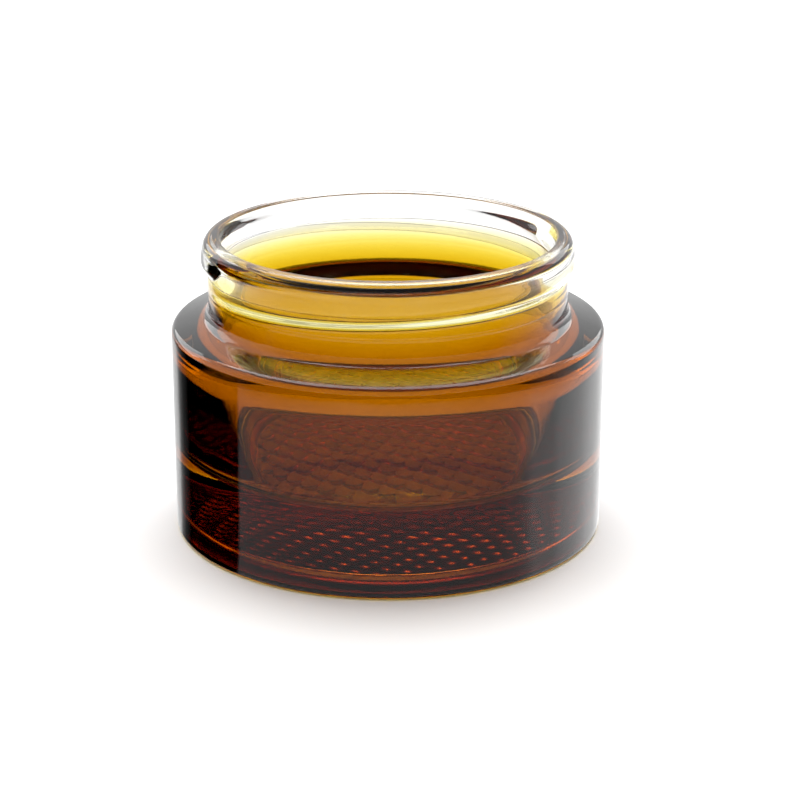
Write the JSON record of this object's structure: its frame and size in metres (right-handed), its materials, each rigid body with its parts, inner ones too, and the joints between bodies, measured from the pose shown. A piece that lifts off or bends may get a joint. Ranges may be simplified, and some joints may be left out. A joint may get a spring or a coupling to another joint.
{
  "type": "cosmetic_cream_jar",
  "caption": "Open cosmetic cream jar: heavy clear glass with a screw-thread neck, a thick base and amber lacquer on its body",
  "frame": {"origin": "the centre of the foot, on the plane that the jar stands on", "axes": "+Z is the jar's axis of symmetry and points up out of its mouth; the jar is turned about it, so +X and -Y are only fixed by the thread, and -Y is the side seen from the front"},
  "size_m": [0.062, 0.062, 0.043],
  "materials": {
    "clear_glass": "polished flint glass, fire-finished",
    "amber_lacquer": "clear amber spray lacquer, high gloss"
  },
  "bodies": {
    "root": {"glass_jar": "clear_glass", "amber_lacquer": "amber_lacquer"}
  },
  "joints": []
}
